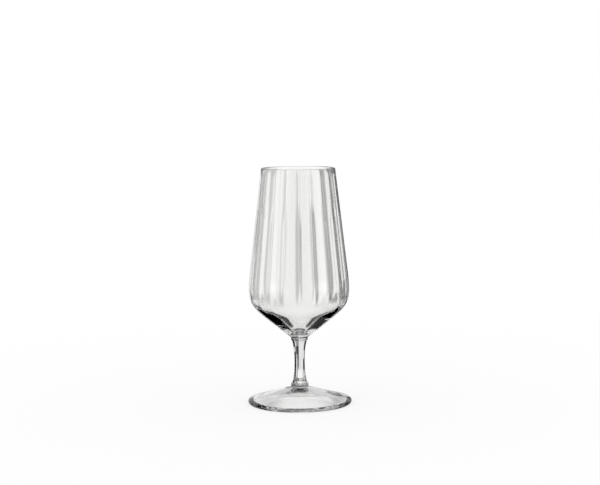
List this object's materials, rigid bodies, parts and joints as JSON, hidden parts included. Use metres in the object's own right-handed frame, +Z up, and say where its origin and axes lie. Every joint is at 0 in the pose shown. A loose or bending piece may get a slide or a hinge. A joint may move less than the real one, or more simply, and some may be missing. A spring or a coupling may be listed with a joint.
{
  "type": "tulip beer glass",
  "caption": "Stemmed tulip beer glass: a tall bowl with faint upright ribs inside, narrowing to the rim, on a short waisted stem and a round conical foot.",
  "frame": {"origin": "on the axis, at the level of the table under the foot", "axes": "+Z up along the axis of the glass, -Y towards the camera of the picture, +X to the right in the picture"},
  "size_m": [0.082, 0.082, 0.1861],
  "materials": {
    "clear_glass": "polished clear glass"
  },
  "bodies": {
    "root": {"bowl": "clear_glass", "stem": "clear_glass", "foot": "clear_glass"}
  },
  "joints": []
}
